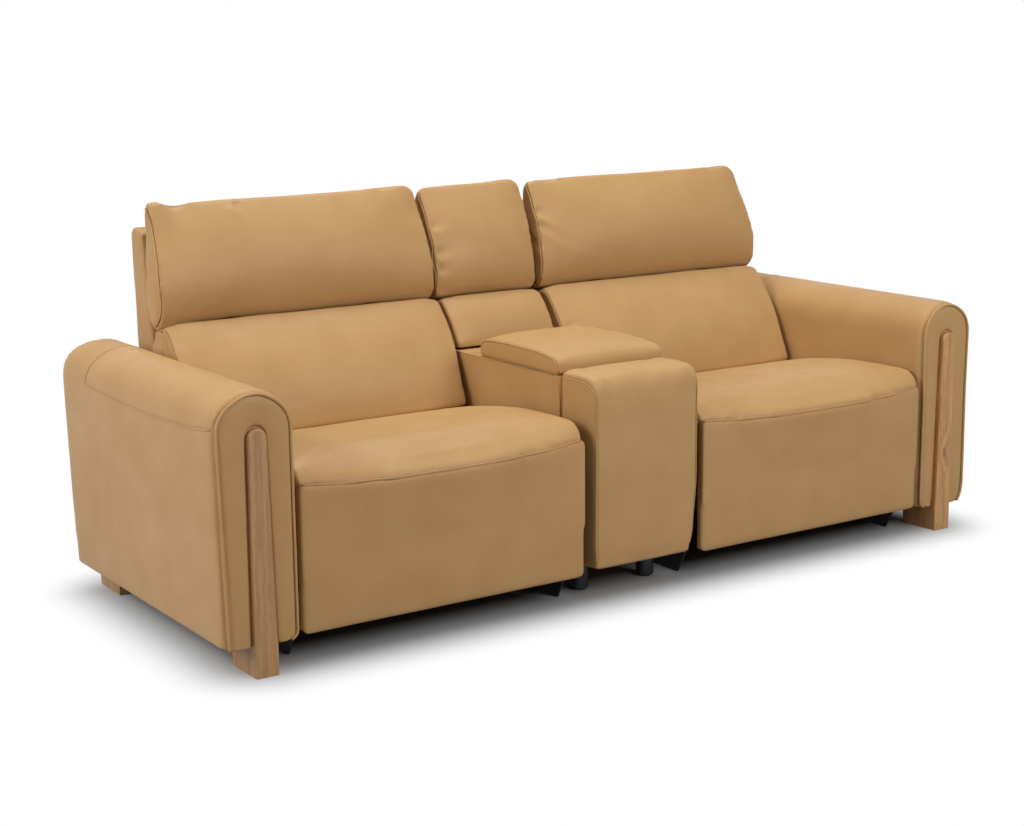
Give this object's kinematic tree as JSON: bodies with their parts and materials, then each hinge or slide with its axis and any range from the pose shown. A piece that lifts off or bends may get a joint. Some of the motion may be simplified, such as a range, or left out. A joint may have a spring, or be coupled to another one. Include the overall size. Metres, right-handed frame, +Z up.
{
  "type": "power reclining loveseat",
  "caption": "Padded leather loveseat with a storage console between reclining seats, swing-out footrests, tilting headrests and wood stiles let into the arm fronts.",
  "frame": {"origin": "centre of the footprint, on the floor", "axes": "+X to the viewer's right along the seats, -Y to the front, +Z up"},
  "size_m": [2.3, 0.9557, 0.9899],
  "materials": {
    "leather": "smooth tan leather",
    "oak": "clear matt lacquer",
    "plywood": "raw",
    "black_steel": "satin black",
    "steel": "zinc plated",
    "plastic": "matt black",
    "button": "satin"
  },
  "bodies": {
    "frame": {"arm_body_left": "leather", "arm_body_right": "leather", "arm_face_left": "leather", "arm_face_right": "leather", "front_legs": "oak", "rear_legs": "oak", "console_shell": "leather", "console_front": "leather", "console_feet": "black_steel", "console_back_frame": "leather", "console_lower_cushion": "leather", "console_upper_cushion": "leather", "lid_hinge": "steel", "power_inlet": "plastic", "side_plates": "black_steel", "cross_tubes": "black_steel", "seat_rails": "plywood", "seat_springs": "steel", "frame_spacers": "black_steel", "switch_plates": "plastic", "seat_cushion_left": "leather", "seat_cushion_right": "leather", "footrest_actuator_left": "plastic", "footrest_actuator_right": "plastic", "back_actuator_left": "plastic", "back_actuator_right": "plastic"},
    "console_lid": {"lid_board": "plywood", "lid_cushion": "leather"},
    "left_drive_shaft": {"drive_shaft_left": "black_steel"},
    "left_swing_links": {"swing_links_left": "black_steel"},
    "left_reach_links": {"reach_links_left": "black_steel"},
    "left_tilt_links": {"tilt_links_left": "black_steel"},
    "left_footrest": {"footrest_brackets_left": "black_steel", "footrest_board_left": "plywood", "footrest_pad_left": "leather"},
    "left_footrest_carriage": {"footrest_carriage_left": "plastic"},
    "left_back": {"back_frame_left": "leather", "back_brackets_left": "black_steel", "lumbar_cushion_left": "leather"},
    "left_back_carriage": {"back_carriage_left": "plastic"},
    "left_headrest": {"headrest_frame_left": "plywood", "headrest_cushion_left": "leather"},
    "left_footrest_rocker": {"footrest_rocker_left": "button"},
    "left_back_rocker": {"back_rocker_left": "button"},
    "right_drive_shaft": {"drive_shaft_right": "black_steel"},
    "right_swing_links": {"swing_links_right": "black_steel"},
    "right_reach_links": {"reach_links_right": "black_steel"},
    "right_tilt_links": {"tilt_links_right": "black_steel"},
    "right_footrest": {"footrest_brackets_right": "black_steel", "footrest_board_right": "plywood", "footrest_pad_right": "leather"},
    "right_footrest_carriage": {"footrest_carriage_right": "plastic"},
    "right_back": {"back_frame_right": "leather", "back_brackets_right": "black_steel", "lumbar_cushion_right": "leather"},
    "right_back_carriage": {"back_carriage_right": "plastic"},
    "right_headrest": {"headrest_frame_right": "plywood", "headrest_cushion_right": "leather"},
    "right_footrest_rocker": {"footrest_rocker_right": "button"},
    "right_back_rocker": {"back_rocker_right": "button"}
  },
  "joints": [
    {"name": "console_lid_hinge", "type": "hinge", "parent": "frame", "child": "console_lid", "pos_m": [0, 0.066, 0.5623], "axis": [-1, 0, 0], "range_deg": [0, 85]},
    {"name": "left_footrest_drive", "type": "hinge", "parent": "frame", "child": "left_drive_shaft", "pos_m": [-0.57, -0.174, 0.278], "axis": [-1, 0, 0], "range_deg": [0, 86]},
    {"name": "left_swing_link_pivot", "type": "hinge", "parent": "frame", "child": "left_swing_links", "pos_m": [-0.57, -0.314, 0.31], "axis": [-1, 0, 0], "range_deg": [0, 86]},
    {"name": "left_reach_link_pivot", "type": "hinge", "parent": "left_drive_shaft", "child": "left_reach_links", "pos_m": [-0.57, -0.066, 0.108], "axis": [-1, 0, 0], "range_deg": [-86, 0]},
    {"name": "left_tilt_link_pivot", "type": "hinge", "parent": "left_swing_links", "child": "left_tilt_links", "pos_m": [-0.57, -0.22, 0.228], "axis": [-1, 0, 0], "range_deg": [-86, 0]},
    {"name": "left_footrest_pivot", "type": "hinge", "parent": "left_reach_links", "child": "left_footrest", "pos_m": [-0.57, -0.366, 0.285], "axis": [-1, 0, 0], "range_deg": [0, 86]},
    {"name": "left_back_recline", "type": "hinge", "parent": "frame", "child": "left_back", "pos_m": [-0.57, 0.216, 0.27], "axis": [-1, 0, 0], "range_deg": [0, 28]},
    {"name": "left_headrest_tilt", "type": "hinge", "parent": "left_back", "child": "left_headrest", "pos_m": [-0.57, 0.308, 0.722], "axis": [1, 0, 0], "range_deg": [0, 38]},
    {"name": "left_footrest_carriage_slide", "type": "slide", "parent": "frame", "child": "left_footrest_carriage", "axis": [0, -1, 0], "range_m": [0, 0.09568]},
    {"name": "left_back_carriage_slide", "type": "slide", "parent": "frame", "child": "left_back_carriage", "axis": [0, -1, 0], "range_m": [0, 0.02923]},
    {"name": "left_footrest_rocker_tilt", "type": "hinge", "parent": "frame", "child": "left_footrest_rocker", "pos_m": [-0.964, -0.169, 0.522], "axis": [0, 0, 1], "range_deg": [-7, 7], "stiffness_Nm_per_rad": 0.3},
    {"name": "left_back_rocker_tilt", "type": "hinge", "parent": "frame", "child": "left_back_rocker", "pos_m": [-0.964, -0.119, 0.522], "axis": [0, 0, 1], "range_deg": [-7, 7], "stiffness_Nm_per_rad": 0.3},
    {"name": "right_footrest_drive", "type": "hinge", "parent": "frame", "child": "right_drive_shaft", "pos_m": [0.57, -0.174, 0.278], "axis": [-1, 0, 0], "range_deg": [0, 86]},
    {"name": "right_swing_link_pivot", "type": "hinge", "parent": "frame", "child": "right_swing_links", "pos_m": [0.57, -0.314, 0.31], "axis": [-1, 0, 0], "range_deg": [0, 86]},
    {"name": "right_reach_link_pivot", "type": "hinge", "parent": "right_drive_shaft", "child": "right_reach_links", "pos_m": [0.57, -0.066, 0.108], "axis": [-1, 0, 0], "range_deg": [-86, 0]},
    {"name": "right_tilt_link_pivot", "type": "hinge", "parent": "right_swing_links", "child": "right_tilt_links", "pos_m": [0.57, -0.22, 0.228], "axis": [-1, 0, 0], "range_deg": [-86, 0]},
    {"name": "right_footrest_pivot", "type": "hinge", "parent": "right_reach_links", "child": "right_footrest", "pos_m": [0.57, -0.366, 0.285], "axis": [-1, 0, 0], "range_deg": [0, 86]},
    {"name": "right_back_recline", "type": "hinge", "parent": "frame", "child": "right_back", "pos_m": [0.57, 0.216, 0.27], "axis": [-1, 0, 0], "range_deg": [0, 28]},
    {"name": "right_headrest_tilt", "type": "hinge", "parent": "right_back", "child": "right_headrest", "pos_m": [0.57, 0.308, 0.722], "axis": [1, 0, 0], "range_deg": [0, 38]},
    {"name": "right_footrest_carriage_slide", "type": "slide", "parent": "frame", "child": "right_footrest_carriage", "axis": [0, -1, 0], "range_m": [0, 0.09568]},
    {"name": "right_back_carriage_slide", "type": "slide", "parent": "frame", "child": "right_back_carriage", "axis": [0, -1, 0], "range_m": [0, 0.02923]},
    {"name": "right_footrest_rocker_tilt", "type": "hinge", "parent": "frame", "child": "right_footrest_rocker", "pos_m": [0.168, -0.169, 0.522], "axis": [0, 0, 1], "range_deg": [-7, 7], "stiffness_Nm_per_rad": 0.3},
    {"name": "right_back_rocker_tilt", "type": "hinge", "parent": "frame", "child": "right_back_rocker", "pos_m": [0.168, -0.119, 0.522], "axis": [0, 0, 1], "range_deg": [-7, 7], "stiffness_Nm_per_rad": 0.3}
  ],
  "couplings": [
    {"joint": "left_swing_link_pivot", "follows": "left_footrest_drive", "ratio": 1},
    {"joint": "left_reach_link_pivot", "follows": "left_footrest_drive", "ratio": -1},
    {"joint": "left_tilt_link_pivot", "follows": "left_footrest_drive", "ratio": -1},
    {"joint": "left_footrest_pivot", "follows": "left_footrest_drive", "ratio": 1},
    {"joint": "left_footrest_carriage_slide", "follows": "left_footrest_drive", "m_per_rad": 0.063611},
    {"joint": "left_back_carriage_slide", "follows": "left_back_recline", "m_per_rad": 0.059405},
    {"joint": "right_swing_link_pivot", "follows": "right_footrest_drive", "ratio": 1},
    {"joint": "right_reach_link_pivot", "follows": "right_footrest_drive", "ratio": -1},
    {"joint": "right_tilt_link_pivot", "follows": "right_footrest_drive", "ratio": -1},
    {"joint": "right_footrest_pivot", "follows": "right_footrest_drive", "ratio": 1},
    {"joint": "right_footrest_carriage_slide", "follows": "right_footrest_drive", "m_per_rad": 0.063611},
    {"joint": "right_back_carriage_slide", "follows": "right_back_recline", "m_per_rad": 0.059405}
  ]
}
